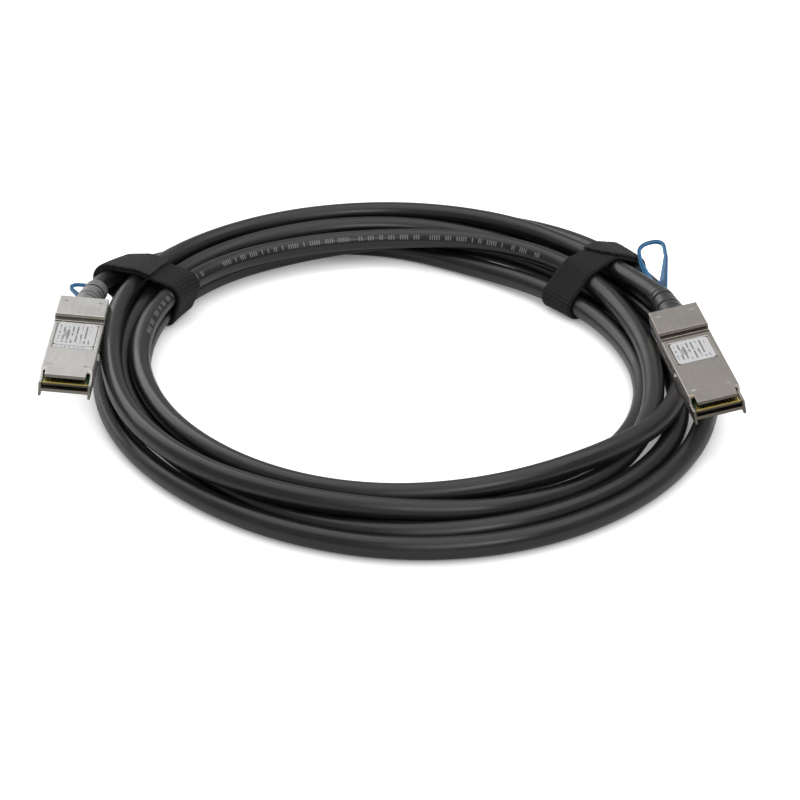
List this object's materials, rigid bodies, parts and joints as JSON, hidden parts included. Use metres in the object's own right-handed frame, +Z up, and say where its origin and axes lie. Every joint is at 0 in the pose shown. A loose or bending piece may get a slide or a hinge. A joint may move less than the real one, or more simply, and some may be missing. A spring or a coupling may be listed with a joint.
{
  "type": "direct attach copper cable",
  "caption": "Thick round black cable wound into a flat coil, held by hook-and-loop straps, with a flat metal-cased pluggable module and blue pull tab at each end",
  "frame": {"origin": "bottom centre of the modules, tabs and straps, on the surface that the coil lies on", "axes": "+X across the coil from module a to module b, +Y towards the straps at the back, +Z up"},
  "size_m": [0.2504, 0.2644, 0.0276],
  "materials": {
    "shell_a_metal": "satin nickel plating on a die casting",
    "shell_b_metal": "satin nickel plating on a die casting, slightly warmer",
    "rivet_metal": "plain steel",
    "latch_steel": "bright spring steel",
    "spring_steel": "drawn steel wire",
    "card_laminate": "green solder mask",
    "contact_gold": "hard gold plating",
    "chip_epoxy": "moulded epoxy",
    "pair_foil": "foil shield",
    "hot_melt": "moulded hot melt",
    "crimp_brass": "crimped ferrule",
    "boot_rubber": "satin moulded rubber",
    "tab_blue": "satin moulded plastic",
    "label_white": "blank polyester label",
    "jacket_black": "satin PVC jacket",
    "strap_fabric": "woven hook-and-loop"
  },
  "bodies": {
    "cable_and_modules": {"top_shell_a": "shell_a_metal", "bottom_shell_a": "shell_a_metal", "rivets_a": "rivet_metal", "paddle_card_a": "card_laminate", "contacts_a": "contact_gold", "memory_chip_a": "chip_epoxy", "wire_pairs_a": "pair_foil", "inner_mould_a": "hot_melt", "crimp_ring_a": "crimp_brass", "boot_a": "boot_rubber", "latch_springs_a": "spring_steel", "label_a": "label_white", "top_shell_b": "shell_b_metal", "bottom_shell_b": "shell_b_metal", "rivets_b": "rivet_metal", "paddle_card_b": "card_laminate", "contacts_b": "contact_gold", "memory_chip_b": "chip_epoxy", "wire_pairs_b": "pair_foil", "inner_mould_b": "hot_melt", "crimp_ring_b": "crimp_brass", "boot_b": "boot_rubber", "latch_springs_b": "spring_steel", "label_b": "label_white", "strip_label_a": "label_white", "coil": "jacket_black", "lead_a": "jacket_black", "lead_b": "jacket_black", "strap_a": "strap_fabric", "strap_b": "strap_fabric"},
    "latch_a": {"latch_slide_a": "latch_steel", "pull_tab_a": "tab_blue"},
    "latch_b": {"latch_slide_b": "latch_steel", "pull_tab_b": "tab_blue"}
  },
  "joints": [
    {"name": "latch_a_slide", "type": "slide", "parent": "cable_and_modules", "child": "latch_a", "axis": [-0.0139, 0.997, -0.0767], "range_m": [0, 0.0018], "stiffness_N_per_m": 1500, "springref_m": -0.0005},
    {"name": "latch_b_slide", "type": "slide", "parent": "cable_and_modules", "child": "latch_b", "axis": [-0.127, 0.9918, -0.0157], "range_m": [0, 0.0018], "stiffness_N_per_m": 1500, "springref_m": -0.0005}
  ]
}
